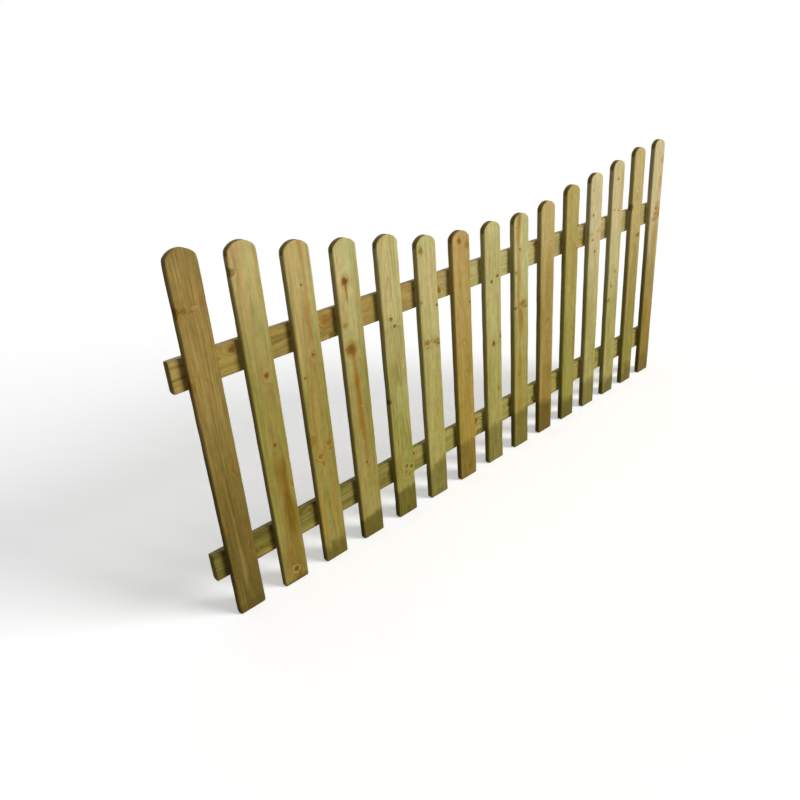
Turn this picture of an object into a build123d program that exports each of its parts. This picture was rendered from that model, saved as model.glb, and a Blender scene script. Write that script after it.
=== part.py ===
from build123d import *
import os

# Garden fence panel: upright pales with rounded heads, fixed to the front of two rails.
# Millimetres. X runs along the fence, Y runs from the front to the back and Z is up.
# The origin is the upper left fixing point, on the back face of the top rail.

# Pales: planed boards with rounded arrises. Each head is sawn to an arc, which turns into the sides on rounded
# shoulders. The rise is the arc's own, to where it would meet the sides without them.
pale_width = 66.0
pale_thickness = 16.0
pale_arris = 4.0
pale_gap = 54.0
head_rise = 20.0
shoulder_radius = 20.0
foot_radius = 5.0

# Height of the end pales, and how far each head lies below it, from the end to the middle
end_pale_height = 800.0
head_drops = [0.0, 10.0, 34.0, 54.0, 70.0, 95.0, 107.0, 107.0]

# Rails: planed bars behind the pales, rounded more at the back than at the front
rail_height = 66.0
rail_thickness = 20.0
rail_front_arris = 2.5
rail_back_arris = 6.0
rail_overhang = 27.0
bottom_rail_above_feet = 100.0
top_rail_above_feet = 536.0

# The line of heads dips to the middle pale and rises again
drops = head_drops + head_drops[-2::-1]
pale_pitch = pale_width + pale_gap
row_width = len(drops) * pale_pitch - pale_gap
rail_length = row_width + 2 * rail_overhang

# Places that the pieces share. A fixing goes through the middle of the bare rail end.
rail_left = -rail_overhang / 2
first_pale_x = rail_left + rail_overhang + pale_width / 2
rail_front_y = -rail_thickness
pale_front_y = rail_front_y - pale_thickness
feet_z = -top_rail_above_feet - rail_height / 2


def make_pale(height):
    """One pale standing on Z 0, centred on X 0, with its front face on Y 0."""
    half_width = pale_width / 2
    shoulder_z = height - head_rise

    with BuildPart() as pale:
        # The planed board, its four long arrises rounded
        with BuildSketch(Plane.XY) as section:
            Rectangle(pale_width, pale_thickness, align=(Align.CENTER, Align.MIN))
            fillet(section.vertices(), radius=pale_arris)
        extrude(amount=height)

        # The head, sawn square through the board, so that the arrises run out in its edge
        with BuildSketch(Plane.XZ) as outline:
            with BuildLine():
                Polyline((-half_width, shoulder_z), (-half_width, 0), (half_width, 0), (half_width, shoulder_z))
                ThreePointArc((half_width, shoulder_z), (0, height), (-half_width, shoulder_z))
            make_face()
            fillet(outline.vertices().group_by(Axis.Y)[-1], radius=shoulder_radius)
            fillet(outline.vertices().group_by(Axis.Y)[0], radius=foot_radius)
        extrude(amount=-pale_thickness, mode=Mode.INTERSECT)
    return pale.part


def make_rail():
    """One rail lying along X from X 0, with its front face on Y 0 and its lower face on Z 0."""
    with BuildPart() as rail:
        with BuildSketch(Plane.YZ) as section:
            Rectangle(rail_thickness, rail_height, align=(Align.MIN, Align.MIN))
            by_depth = section.vertices().group_by(Axis.Y)
            fillet(by_depth[0], radius=rail_front_arris)
            fillet(by_depth[-1], radius=rail_back_arris)
        extrude(amount=rail_length)
    return rail.part


pieces = {}
for index, drop in enumerate(drops):
    place = Location((first_pale_x + index * pale_pitch, pale_front_y, feet_z))
    pieces[f"pale_{index + 1:02d}"] = place * make_pale(end_pale_height - drop)

for name, above_feet in (("bottom_rail", bottom_rail_above_feet), ("top_rail", top_rail_above_feet)):
    pieces[name] = Location((rail_left, rail_front_y, feet_z + above_feet)) * make_rail()

os.makedirs("parts", exist_ok=True)
for name, piece in pieces.items():
    export_step(piece, f"parts/{name}.step")
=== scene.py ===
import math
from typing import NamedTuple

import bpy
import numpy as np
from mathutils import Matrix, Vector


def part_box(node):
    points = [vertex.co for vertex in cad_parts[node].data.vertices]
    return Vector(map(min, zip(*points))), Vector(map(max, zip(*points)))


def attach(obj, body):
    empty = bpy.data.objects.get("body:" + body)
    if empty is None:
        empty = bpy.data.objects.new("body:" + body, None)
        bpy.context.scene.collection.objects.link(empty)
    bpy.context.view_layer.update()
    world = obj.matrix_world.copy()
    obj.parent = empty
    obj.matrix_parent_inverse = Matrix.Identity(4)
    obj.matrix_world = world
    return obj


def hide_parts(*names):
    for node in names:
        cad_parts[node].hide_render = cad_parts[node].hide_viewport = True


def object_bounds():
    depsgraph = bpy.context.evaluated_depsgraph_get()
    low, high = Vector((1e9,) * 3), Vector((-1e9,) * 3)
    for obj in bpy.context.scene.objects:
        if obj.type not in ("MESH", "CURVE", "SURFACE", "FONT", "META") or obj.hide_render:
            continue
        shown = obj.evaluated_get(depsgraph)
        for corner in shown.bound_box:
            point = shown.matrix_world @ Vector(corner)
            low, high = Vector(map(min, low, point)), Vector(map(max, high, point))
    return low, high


bl_info = {
    "name": "Garden Fence Panel",
    "version": (1, 0, 0),
    "blender": (4, 5, 0),
    "location": "3D View > Sidebar > Fence",
    "description": "Dresses a low picket fence panel: treated boards, with grain and knots, and the nails",
    "category": "Object",
}

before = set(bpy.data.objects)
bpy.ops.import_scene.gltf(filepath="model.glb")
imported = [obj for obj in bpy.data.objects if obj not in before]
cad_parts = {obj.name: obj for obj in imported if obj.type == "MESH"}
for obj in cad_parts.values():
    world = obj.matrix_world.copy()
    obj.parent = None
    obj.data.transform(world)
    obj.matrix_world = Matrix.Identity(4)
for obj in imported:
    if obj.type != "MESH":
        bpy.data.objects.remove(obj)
cad_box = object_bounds()

# Sizes here are in millimetres, and the frame is in metres
MM = 0.001

# A board is described across its width, through its depth from the front face, and along its grain.
# Across runs to the right on a pale and downwards on a rail. Along starts at the feet or at the left end.
ACROSS, DEPTH, ALONG = 0, 1, 2


class Knot(NamedTuple):
    """A branch cut through by the board: its place, its radius, and how red and how dark it is.

    Stretch draws it out along the grain, and ringed is how strongly a pale ring and its bark show round it.
    One that is neither red nor dark gets a painted highlight over its eye.
    """

    across: float
    along: float
    size: float
    red: float = 0.5
    dark: float = 0.5
    stretch: float = 1.0
    ringed: float = 0.0


class Streak(NamedTuple):
    """A band of heartwood, or of green sapwood where its strength is negative.

    Lean is how far across it moves from its start to its end. Blush is how pink its wood is, or how cool and
    pale where it is negative.
    """

    across: float
    start: float
    end: float
    width: float
    lean: float = 0.0
    strength: float = 0.0
    blush: float = 0.0


class Check(NamedTuple):
    """A drying crack along the grain of the front face."""

    across: float
    start: float
    end: float
    deep: float = 3.0


class Board(NamedTuple):
    """How one board grew and how the treatment has coloured it.

    Its wood goes from the lower tone to the upper one over the fade, and its heartwood has the core's tone.
    The heart is the middle of the tree, across and in depth, and the taper is how fast it moves away along
    the board. Ring gap is the width of a year, and ring shade is how dark its late wood is. The tide is how
    far up the foot stood in the treatment, with the lean and the blur of its edge, and soak is how dark that
    made it.
    """

    upper: str
    lower: str
    core: str = "tan"
    fade: tuple = (180.0, 690.0)
    heart: tuple = (4.0, 48.0)
    ring_gap: float = 3.0
    taper: float = 0.012
    ring_shade: float = 0.5
    tide: float = 0.0
    tide_lean: float = 0.0
    tide_blur: float = 1.0
    soak: float = 1.0
    knots: tuple = ()
    streaks: tuple = ()
    checks: tuple = ()


# The pales, from left to right
PALES = {
    "pale_01": Board(
        "walnut", "umber", "straw", (80, 640), heart=(-70, 10), ring_gap=4.2, taper=0.006, ring_shade=0.75,
        tide=24, soak=0.3,
        knots=(
            Knot(-33, 690, 8, 0.7, 1.0, 1.3), Knot(-16, 689, 6, 0.3, 0.7, 0.9), Knot(31, 694, 6, 0.5, 0.4),
            Knot(-5, 684, 5, 0.3, 0.3, 0.5), Knot(6, 692, 12, 0.25, 0.0, 0.3),
            Knot(2, 550, 9, 0.3, 0.25, 0.25), Knot(-33, 222, 6, 0.5, 0.5, 0.8),
            Knot(-18, 219, 6, 0.2, 0.45, 0.35), Knot(15, 155, 4, 0.4, 0.5), Knot(16, 350, 3, 0.4, 0.5, 2.5),
            Knot(-33, 545, 7, 0.5, 0.6, 1.6),
        ),
        streaks=(
            Streak(-12, 420, 640, 6, strength=0.3), Streak(14, 420, 800, 8, strength=0.2),
            Streak(-4, 20, 300, 5, strength=0.3), Streak(20, 60, 420, 9, blush=0.6),
            Streak(-20, 240, 540, 4, strength=-0.5), Streak(4, 180, 470, 3, strength=-0.6),
            Streak(26, 260, 640, 4, strength=-0.4), Streak(-10, 640, 830, 26, strength=0.2, blush=0.5),
            Streak(-27, 240, 640, 8, blush=0.7), Streak(0, 780, 860, 40, strength=-0.2),
            Streak(4, 660, 720, 26, strength=-0.1, blush=0.8),
        ),
    ),
    "pale_02": Board(
        "wheat", "fern", "chestnut", (380, 850), heart=(6, 42), ring_gap=4.0, taper=0.02, ring_shade=0.45,
        tide=10, tide_lean=6, soak=0.7,
        knots=(
            Knot(-30, 735, 8, 0.0, 0.8, 1.2), Knot(8, 515, 5.5, 1.0, 0.9), Knot(0, 359, 4.5, 0.6, 1.0),
            Knot(30, 250, 5, 0.6, 0.5, 1.6), Knot(2, 34, 7, 0.35, 1.0, 1.2, 0.8),
        ),
        streaks=(
            Streak(7, -60, 370, 21, strength=0.9), Streak(13, 120, 340, 8, 6, 0.5),
            Streak(-20, 300, 560, 12, strength=-0.15), Streak(-17, 600, 840, 17, strength=0.1, blush=0.7),
            Streak(8, 560, 840, 8, 6, blush=-1.0), Streak(24, 300, 600, 9, strength=-0.3),
            Streak(-8, 340, 620, 16, strength=0.12), Streak(14, 500, 680, 13, 8, blush=-0.8),
            Streak(-22, 60, 640, 6, strength=-0.3, blush=-0.7),
            Streak(-14, 20, 330, 8, strength=0.15, blush=0.6), Streak(12, 330, 500, 7, strength=0.2),
            Streak(22, 20, 240, 7, blush=-0.8),
        ),
    ),
    "pale_03": Board(
        "wheat", "fern", "amber", (240, 820), heart=(-6, 50), ring_gap=3.8, taper=0.016, ring_shade=0.45,
        tide=44, tide_lean=8, tide_blur=2.5, soak=0.85,
        knots=(
            Knot(0, 675, 3, 0.3, 0.9), Knot(7, 522, 3.5, 0.3, 0.9), Knot(-20, 478, 3.5, 0.9, 0.7),
            Knot(-26, 328, 9, 0.7, 0.25, 1.1), Knot(18, 307, 8, 0.9, 0.5, 0.9, 0.4),
            Knot(20, 291, 6, 0.8, 0.55, 0.4), Knot(-10, 282, 6.5, 0.7, 0.5, 1.1, 0.7),
            Knot(-4, 262, 3, 0.8, 0.3, 2.0),
        ),
        streaks=(
            Streak(9, 540, 860, 7, strength=0.75, blush=1.2),
            Streak(4, 320, 620, 9, strength=0.4, blush=0.2), Streak(-16, 480, 810, 12, blush=0.5),
            Streak(26, 480, 780, 7, strength=-0.2, blush=-1.2),
            Streak(-25, 10, 210, 8, strength=0.55, blush=0.6), Streak(15, -20, 230, 6, -8, 0.7),
            Streak(24, 120, 620, 7, strength=-0.6), Streak(-4, 60, 250, 8, strength=-0.4, blush=-0.9),
            Streak(-10, 310, 470, 9, strength=0.2, blush=0.5), Streak(-10, 225, 275, 3, 9, -0.8),
        ),
    ),
    "pale_04": Board(
        "cream", "fern", "rust", (300, 800), heart=(-10, 55), taper=0.02, ring_shade=0.35, tide=58,
        tide_lean=6, tide_blur=1.3, soak=1.05,
        knots=(
            Knot(-9, 655, 7, 1.0, 1.0, 1.1), Knot(-12, 501, 11, 0.75, 0.8, 1.0),
            Knot(-1, 209, 3.5, 0.3, 1.0), Knot(2, 358, 3, 0.0, 0.0), Knot(-4, 265, 3, 0.0, 0.0),
            Knot(-20, 560, 6, 0.5, 0.15, 0.7),
        ),
        streaks=(
            Streak(-4, 400, 530, 11, -6, 0.8), Streak(-1, 150, 480, 9, -13, 1.0),
            Streak(-9, 605, 655, 2.5, -3, 1.0), Streak(20, 60, 540, 10, strength=-0.5),
            Streak(-22, 540, 760, 11, blush=1.0), Streak(8, 660, 760, 16, blush=-0.9),
            Streak(24, 330, 620, 8, blush=-0.8), Streak(-20, 500, 530, 8, blush=1.6),
        ),
    ),
    "pale_05": Board(
        "cream", "sage", "tan", (120, 640), heart=(0, 34), ring_gap=3.8, taper=0.03, ring_shade=0.85,
        tide=76, tide_blur=1.4, soak=0.95,
        knots=(
            Knot(-7, 538, 4.5, 0.0, 1.0, 1.1), Knot(4, 517, 4.5, 0.1, 1.0), Knot(14, 520, 5, 0.0, 0.0, 0.6),
            Knot(-33, 333, 5, 0.1, 1.0, 1.4), Knot(6, 141, 4, 0.0, 1.0, 1.3),
            Knot(22, 132, 5.5, 0.0, 1.0, 1.0), Knot(-12, 129, 2.5, 0.9, 0.4), Knot(3, 124, 3, 0.9, 0.6),
            Knot(13, 114, 5, 0.6, 0.6, 0.5), Knot(-6, 100, 3, 0.2, 0.5),
        ),
        streaks=(
            Streak(20, 400, 470, 5, strength=0.4), Streak(-18, 80, 420, 12, strength=-0.3),
            Streak(-10, 480, 740, 14, blush=0.6), Streak(10, 80, 420, 18, blush=-0.7),
            Streak(-14, 140, 200, 14, blush=1.0), Streak(22, 480, 640, 8, blush=-0.8),
            Streak(0, 350, 540, 40, strength=-0.5),
        ),
    ),
    "pale_06": Board(
        "cream", "reed", "amber", (160, 800), heart=(8, 52), taper=0.016, ring_shade=0.3, tide=98,
        tide_lean=14, tide_blur=2.0, soak=0.8,
        knots=(
            Knot(-20, 671, 6.5, 0.8, 0.4), Knot(-26, 549, 3.5, 0.1, 0.9), Knot(26, 531, 4.5, 0.2, 1.0, 0.7),
            Knot(-14, 444, 7, 0.75, 0.5, 0.8), Knot(2, 446, 8, 0.5, 0.05, 0.3),
            Knot(22, 440, 9, 0.65, 0.3, 0.7), Knot(12, 438, 8, 0.5, 0.9, 0.2),
            Knot(25, 431, 8, 0.5, 1.0, 0.22), Knot(-14, 430, 5, 0.6, 0.6, 0.4),
            Knot(-14, 96, 7, 0.7, 0.3, 0.35), Knot(6, 30, 6, 0.0, 0.0, 0.7),
        ),
        streaks=(
            Streak(10, 150, 370, 8, strength=0.35), Streak(-2, 330, 380, 5, strength=0.3),
            Streak(-22, 250, 420, 8, strength=-0.4), Streak(8, 540, 680, 22, blush=1.0),
            Streak(2, 440, 470, 24, blush=-1.0), Streak(-8, 640, 700, 16, blush=-0.9),
        ),
    ),
    "pale_07": Board(
        "gold", "honey", "ochre", heart=(-4, 60), taper=0.01, ring_shade=0.3, tide=112, tide_blur=2.0,
        soak=0.65,
        knots=(
            Knot(-6, 668, 6, 0.8, 0.75), Knot(22, 655, 6, 0.8, 0.3), Knot(-12, 515, 5, 0.5, 0.5, 0.4),
            Knot(26, 507, 3.5, 0.4, 0.8), Knot(0, 403, 3.5, 0.0, 0.0), Knot(5, 312, 3.5, 0.0, 0.0),
            Knot(-2, 260, 3, 0.0, 0.0), Knot(5, 32, 7, 0.6, 0.4),
        ),
        streaks=(
            Streak(4, 120, 560, 13, strength=0.3), Streak(-26, 40, 420, 6, strength=-0.4),
            Streak(-8, 560, 700, 24, blush=1.0), Streak(24, 560, 640, 8, strength=-0.4),
            Streak(16, 300, 420, 12, strength=0.4), Streak(-14, 380, 500, 10, blush=0.7),
        ),
    ),
    "pale_08": Board(
        "cream", "reed", "tan", heart=(0, 64), taper=0.012, ring_shade=0.3, tide=118, tide_blur=2.0,
        soak=0.75,
        knots=(
            Knot(-6, 538, 5, 0.0, 1.0), Knot(17, 549, 5, 0.0, 1.0, 0.9), Knot(-2, 365, 5.5, 0.8, 1.0, 1.2),
            Knot(28, 378, 5, 0.1, 0.8, 1.5), Knot(16, 224, 4.5, 0.6, 0.5, 1.5),
        ),
        streaks=(
            Streak(19, 380, 510, 5, strength=0.5), Streak(-20, 120, 350, 10, strength=-0.3),
            Streak(-16, 560, 700, 14, blush=0.7), Streak(14, 580, 700, 12, blush=-0.8),
            Streak(6, 240, 460, 16, blush=-0.5),
        ),
    ),
    "pale_09": Board(
        "cream", "sage", "amber", heart=(-4, 56), taper=0.014, ring_shade=0.3, tide=114, tide_blur=2.0,
        soak=0.8,
        knots=(
            Knot(-22, 658, 3, 0.1, 0.7), Knot(-7, 598, 4, 0.3, 0.7, 1.2), Knot(-24, 537, 4.5, 0.6, 0.6),
            Knot(-25, 437, 7, 0.2, 0.85, 0.7), Knot(6, 446, 10, 0.85, 0.45, 0.6),
            Knot(17, 434, 8, 0.6, 0.6, 0.3), Knot(6, 463, 8, 0.0, 0.0, 0.6), Knot(-9, 235, 3.5, 0.8, 0.6),
            Knot(29, 210, 5, 0.2, 0.8), Knot(-20, 60, 6, 0.0, 0.0),
        ),
        streaks=(
            Streak(-13, 400, 780, 10, 5, 0.9, 0.6), Streak(-9, 0, 500, 12, 12, 0.85, 0.4),
            Streak(-2, 220, 470, 4, 6, 0.6), Streak(14, 60, 430, 6, strength=0.15),
            Streak(-28, 60, 640, 6, strength=-0.5, blush=-0.5), Streak(28, 60, 330, 6, strength=-0.4),
            Streak(18, 420, 700, 14, blush=-1.2), Streak(-24, 540, 700, 7, blush=0.9),
            Streak(6, 460, 600, 6, blush=0.8),
        ),
    ),
    "pale_10": Board(
        "wheat", "tan", "ochre", (300, 800), heart=(10, 50), ring_gap=3.6, taper=0.012, ring_shade=0.35,
        tide=100, tide_lean=-6, tide_blur=2.0, soak=0.85,
        knots=(
            Knot(10, 594, 4, 0.1, 0.5), Knot(5, 503, 4, 0.1, 0.5), Knot(8, 363, 4, 0.2, 0.8),
            Knot(-6, 298, 4, 0.1, 0.4), Knot(10, 215, 4, 0.5, 0.4), Knot(10, 75, 6, 0.6, 0.3),
        ),
        streaks=(
            Streak(6, 120, 560, 12, strength=0.3), Streak(-27, 60, 460, 8, strength=-0.7),
            Streak(0, -300, 300, 70, strength=0.8), Streak(-4, 500, 740, 28, blush=0.8),
            Streak(-26, 480, 640, 6, strength=-0.3, blush=-1.0),
        ),
    ),
    "pale_11": Board(
        "straw", "sage", "ochre", (120, 900), heart=(-12, 46), taper=0.014, ring_shade=0.35, tide=64,
        tide_blur=4.0, soak=1.2,
        knots=(
            Knot(27, 612, 5, 0.4, 1.0, 0.8), Knot(31, 545, 5, 0.5, 0.9), Knot(-14, 452, 4, 0.1, 0.7, 0.4),
            Knot(20, 425, 5, 0.2, 0.3), Knot(12, 297, 3.5, 0.2, 0.5, 0.7), Knot(20, 268, 4, 0.7, 0.3),
            Knot(0, 60, 5, 0.0, 0.1, 0.7),
        ),
        streaks=(
            Streak(12, 380, 600, 12, strength=0.4), Streak(24, 60, 390, 7, strength=0.8, blush=0.6),
            Streak(-24, 40, 560, 7, strength=-0.7), Streak(-2, 80, 460, 14, strength=-0.2, blush=-0.9),
            Streak(6, 560, 740, 18, blush=-0.5),
        ),
    ),
    "pale_12": Board(
        "ivory", "reed", "tan", heart=(4, 60), taper=0.012, ring_shade=0.25, tide=84, tide_blur=3.0,
        soak=0.85,
        knots=(
            Knot(-18, 699, 4, 0.2, 0.5, 0.5), Knot(3, 705, 4, 0.2, 0.4, 0.5),
            Knot(-13, 626, 5, 0.0, 0.9, 0.7), Knot(-12, 552, 5.5, 0.0, 0.9, 0.6),
            Knot(1, 515, 4.5, 0.0, 0.9), Knot(10, 335, 5, 0.1, 0.2, 0.4), Knot(10, 72, 6, 0.3, 0.1),
            Knot(-24, 571, 12, 0.2, 0.3, 0.22), Knot(16, 575, 15, 0.0, 0.2, 0.2),
        ),
        streaks=(
            Streak(6, 180, 330, 9, strength=0.3), Streak(-26, 60, 480, 6, strength=-0.4),
            Streak(16, 520, 740, 14, blush=0.9), Streak(-6, 530, 570, 18, blush=1.0),
            Streak(-10, 380, 500, 20, blush=-0.5),
        ),
    ),
    "pale_13": Board(
        "ivory", "reed", "tan", heart=(-8, 58), taper=0.014, ring_shade=0.3, tide=54, tide_lean=4,
        tide_blur=3.0, soak=1.1,
        knots=(
            Knot(-5, 712, 6, 0.5, 0.5, 0.5), Knot(-18, 623, 4.5, 0.2, 0.9, 0.6),
            Knot(6, 617, 4.5, 0.2, 0.9, 0.6), Knot(18, 607, 6, 0.0, 0.0), Knot(6, 425, 7, 0.1, 0.5, 1.0),
            Knot(-12, 380, 5, 0.1, 0.8), Knot(-22, 335, 8, 0.8, 0.35, 0.6),
        ),
        streaks=(
            Streak(14, 540, 760, 12, strength=0.2, blush=0.8), Streak(-10, 60, 330, 12, strength=-0.4),
            Streak(-16, 560, 740, 10, strength=0.15, blush=0.6), Streak(16, 200, 400, 12, blush=-0.7),
        ),
    ),
    "pale_14": Board(
        "wheat", "fern", "amber", (260, 700), heart=(6, 44), taper=0.018, ring_shade=0.45, tide=66,
        tide_blur=5.0, soak=0.75,
        knots=(
            Knot(-6, 640, 7, 0.1, 0.3, 1.6), Knot(-30, 610, 6, 0.4, 0.8, 1.6),
            Knot(15, 516, 8, 0.1, 0.9, 0.9), Knot(-15, 455, 5, 0.0, 0.0), Knot(20, 415, 4, 0.1, 0.3),
            Knot(22, 350, 5, 0.1, 0.3), Knot(10, 40, 6, 0.5, 0.3), Knot(16, 200, 5, 0.3, 0.2, 0.6),
            Knot(30, 100, 6, 0.2, 0.7, 1.6),
        ),
        streaks=(
            Streak(6, 370, 460, 9, strength=0.5), Streak(-16, 60, 330, 9, strength=-0.5),
            Streak(22, 40, 320, 6, strength=-0.7), Streak(10, 240, 340, 10, strength=0.3),
            Streak(6, 660, 800, 20, blush=0.3), Streak(26, 560, 620, 9, strength=0.5, blush=0.8),
            Streak(4, 470, 540, 24, strength=0.35), Streak(-10, 540, 640, 12, blush=0.7),
        ),
    ),
    "pale_15": Board(
        "ivory", "ochre", "amber", (220, 680), heart=(-6, 50), taper=0.014, ring_shade=0.3, tide=70,
        tide_blur=5.0, soak=0.6,
        knots=(
            Knot(15, 672, 3, 0.7, 0.9, 2.4), Knot(15, 668, 10, 0.35, 0.0, 1.3),
            Knot(2, 582, 4, 0.5, 0.8, 1.3), Knot(1, 566, 7, 0.6, 0.5, 0.5), Knot(26, 566, 9, 0.4, 0.1, 0.9),
            Knot(-6, 548, 11, 0.6, 0.15, 0.5), Knot(20, 735, 8, 0.4, 0.1, 0.7),
        ),
        streaks=(
            Streak(6, 60, 600, 20, strength=0.5), Streak(16, 590, 800, 15, strength=0.15, blush=1.6),
            Streak(-25, 30, 620, 8, strength=-0.6), Streak(-20, 600, 760, 12, strength=-0.1, blush=-0.5),
            Streak(10, 535, 615, 24, strength=0.7, blush=1.0),
            Streak(2, 470, 545, 30, strength=0.3, blush=0.6),
        ),
    ),
}

# The rails. Their tide lies far to the left of them, because neither stood in the treatment.
RAILS = {
    "top_rail": Board(
        "cream", "tan", "ochre", (520, 1000), heart=(-8, 34), ring_gap=4.2, taper=0.006, ring_shade=1.2,
        tide=-500,
        knots=(
            Knot(-18, 131, 7, 0.6, 1.0), Knot(-12, 361, 11, 0.85, 0.35, 1.2, 0.25),
            Knot(24, 372, 6, 0.5, 0.8), Knot(-8, 519, 6, 0.5, 0.8, 1.6), Knot(-14, 633, 5, 0.4, 0.8, 1.5),
            Knot(10, 711, 6, 0.5, 0.8), Knot(-10, 884, 5, 0.6, 0.6, 1.6), Knot(-24, 1096, 5, 0.7, 0.6),
            Knot(16, 1336, 8, 0.9, 0.3), Knot(-12, 1712, 7, 0.8, 0.5),
        ),
        streaks=(
            Streak(0, 1060, 1800, 40, strength=0.45), Streak(16, 60, 420, 12, strength=-0.5),
            Streak(-12, 300, 700, 14, blush=0.8), Streak(10, 700, 1050, 16, blush=-0.7),
        ),
        checks=(Check(6.6, -20, 66), Check(2.6, 932, 1016), Check(3.0, 1176, 1240, 2.0)),
    ),
    "bottom_rail": Board(
        "reed", "olive", "straw", (230, 900), heart=(-30, 22), ring_gap=4.6, taper=0.008, ring_shade=1.25,
        tide=-500,
        knots=(
            Knot(8, 114, 4.5, 0.4, 1.0), Knot(-20, 250, 5, 0.5, 0.6), Knot(0, 498, 5, 0.5, 0.8, 1.6),
            Knot(-20, 585, 5, 0.3, 1.0), Knot(-17, 832, 9, 0.6, 0.8, 1.0, 1.0),
            Knot(22, 846, 7, 0.5, 0.7, 1.6), Knot(-14, 980, 7, 0.3, 0.8), Knot(10, 1094, 7, 0.4, 0.9),
            Knot(-6, 1444, 5, 0.5, 0.9), Knot(-12, 1216, 5, 0.6, 0.5),
        ),
        streaks=(
            Streak(-2, -20, 700, 6, strength=0.4), Streak(24, 60, 460, 7, strength=0.4),
            Streak(0, 700, 1400, 20, blush=-0.5),
        ),
    ),
}


# Settings that a user would change

def tone(name, description, red, green, blue):
    """A colour as it looks on a screen, from 0 to 255."""
    shown = (red / 255, green / 255, blue / 255)
    return bpy.props.FloatVectorProperty(
        name=name, description=description, subtype="COLOR_GAMMA", size=3, min=0.0, max=1.0, default=shown
    )


def length(name, description, default):
    """A length in metres, given in millimetres."""
    return bpy.props.FloatProperty(
        name=name, description=description, default=default * MM, unit="LENGTH", precision=5
    )


def angle(name, description, degrees):
    """An angle, given in degrees."""
    return bpy.props.FloatProperty(
        name=name, description=description, default=math.radians(degrees), subtype="ANGLE", unit="ROTATION"
    )


def strength(name, description, default):
    """The strength of a light."""
    return bpy.props.FloatProperty(name=name, description=description, default=default, min=0.0)


class FenceTones(bpy.types.PropertyGroup):
    """Colours of the treated timber, the nails and the floor."""

    ivory: tone("Ivory", "Palest sapwood, near the head of a pale", 200, 186, 134)
    cream: tone("Cream", "Pale sapwood with a little green", 189, 177, 116)
    wheat: tone("Wheat", "Pale yellow sapwood", 188, 168, 106)
    straw: tone("Straw", "Yellow sapwood", 177, 156, 86)
    reed: tone("Reed", "Light yellow-green sapwood", 160, 149, 78)
    sage: tone("Sage", "Light green, well treated sapwood", 150, 140, 66)
    fern: tone("Fern", "Darker yellow-green sapwood", 146, 131, 62)
    moss: tone("Moss", "Strong green of the treatment", 127, 118, 36)
    olive: tone("Olive", "Dull green of the lower rail", 108, 99, 36)
    tan: tone("Tan", "Light brown wood", 160, 136, 70)
    gold: tone("Gold", "Golden wood", 176, 150, 84)
    honey: tone("Honey", "Deeper golden wood", 155, 129, 50)
    ochre: tone("Ochre", "Deep yellow-brown wood", 136, 112, 36)
    amber: tone("Amber", "Orange-brown heartwood", 155, 122, 46)
    rust: tone("Rust", "Red-brown wood beside a knot", 146, 102, 22)
    chestnut: tone("Chestnut", "Brown heartwood of the second pale", 120, 90, 14)
    walnut: tone("Walnut", "Brown wood of the first pale", 145, 121, 60)
    umber: tone("Umber", "Darker brown at the foot of the first pale", 102, 84, 30)
    eye: tone("Knot eye", "Dark brown middle of a knot", 92, 56, 4)
    moss_eye: tone("Green knot eye", "Dark green middle of a treated knot", 86, 76, 8)
    soaked: tone("Soaked", "Tint of the foot that stood in the treatment", 178, 176, 140)
    sawn: tone("Sawn end", "Cut ends, which take up more of the treatment", 126, 106, 48)
    steel: tone("Nail steel", "Dull galvanised steel", 150, 148, 140)
    floor: tone("Floor", "Pale studio floor", 255, 255, 255)


class FenceSizes(bpy.types.PropertyGroup):
    """Sizes of the boards' finish and of the nails."""

    pale_arris: length("Pale arris", "Radius of a pale's four long edges", 4.0)
    head_rise: length("Head rise", "Height of the arc that a pale's head is sawn to", 20.0)
    shoulder: length("Shoulder", "Radius on which a head's arc turns into the pale's sides", 20.0)
    foot_corner: length("Foot corner", "Radius of the corners at a pale's foot", 5.0)
    end_ease: length("Eased ends", "Radius that the sawn edges are rubbed to", 1.5)
    rail_front_arris: length("Rail front arris", "Radius of a rail's front edges", 2.5)
    rail_back_arris: length("Rail back arris", "Radius of a rail's back edges", 6.0)
    cell_across: length("Cell across", "Width of a mesh cell on a board's face", 2.5)
    cell_along: length("Cell along", "Length of a mesh cell along a board", 7.0)
    cell_fine: length("Fine cell", "Length of a mesh cell beside a knot", 2.2)
    waviness: length("Waviness", "How deep the planed faces dip", 0.25)
    edge_wear: length("Edge wear", "How far the long edges are rubbed down", 0.5)
    nail_head: length("Nail head", "Diameter of a nail's head", 6.5)
    nail_sink: length("Nail sink", "How far a nail's head lies below the rail's back", 0.5)
    nail_spread: length("Nail spread", "Distance between a pale's two nails, measured along the rail", 26.0)


class FenceStage(bpy.types.PropertyGroup):
    """The light, the floor and the camera's lens."""

    sun: strength("Sun", "Strength of the main light", 3.35)
    sun_height: angle("Sun height", "Angle of the main light above the floor", 21)
    sun_turn: angle("Sun turn", "How far the main light stands to the right of the panel's front", 36.5)
    sun_width: angle("Sun width", "Angle that the main light spans, which softens its shadows", 30)
    fill: strength("Fill", "Strength of the weak light from behind, which casts no shadows", 1.1)
    sky: strength("Sky", "Strength of the light from all round", 0.30)
    lens: bpy.props.FloatProperty(
        name="Lens", description="Focal length on a 36 mm sensor", default=30.98, min=1.0,
        subtype="DISTANCE_CAMERA",
    )


# Joining nodes

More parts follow.
